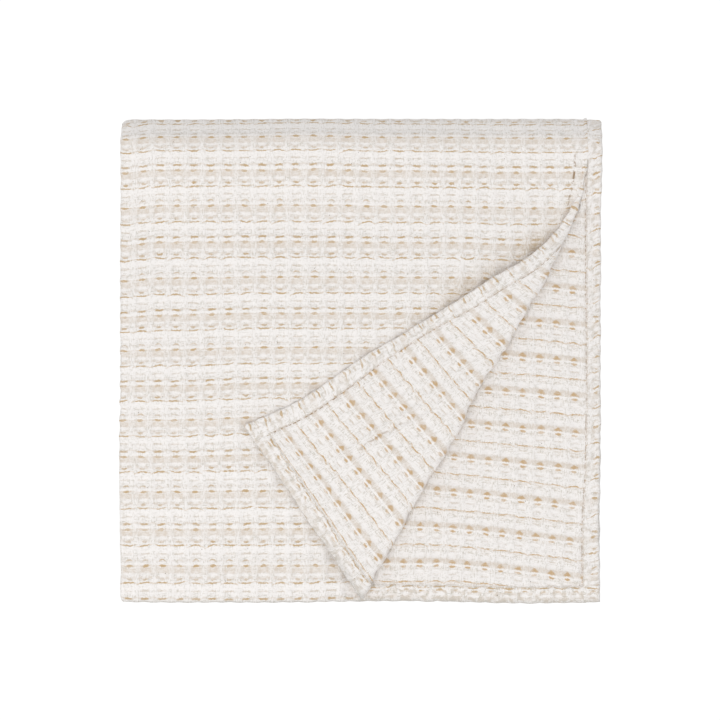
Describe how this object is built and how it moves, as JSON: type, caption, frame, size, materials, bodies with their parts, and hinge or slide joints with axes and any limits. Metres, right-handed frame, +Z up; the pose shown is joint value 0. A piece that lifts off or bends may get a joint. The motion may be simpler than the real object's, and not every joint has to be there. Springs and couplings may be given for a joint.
{
  "type": "folded waffle weave cotton blanket",
  "caption": "Thick waffle weave cotton blanket with turned hems, quartered into a flat square stack, with the upper corner turned back over the stack.",
  "frame": {"origin": "bottom centre of the folded blanket, on the surface that it lies on", "axes": "+Z up through the layers, +Y to the last fold, +X to the open edges beside the turned corner"},
  "size_m": [0.4096, 0.4124, 0.036],
  "materials": {
    "cotton": "matte"
  },
  "bodies": {
    "root": {"blanket": "cotton"}
  },
  "joints": []
}
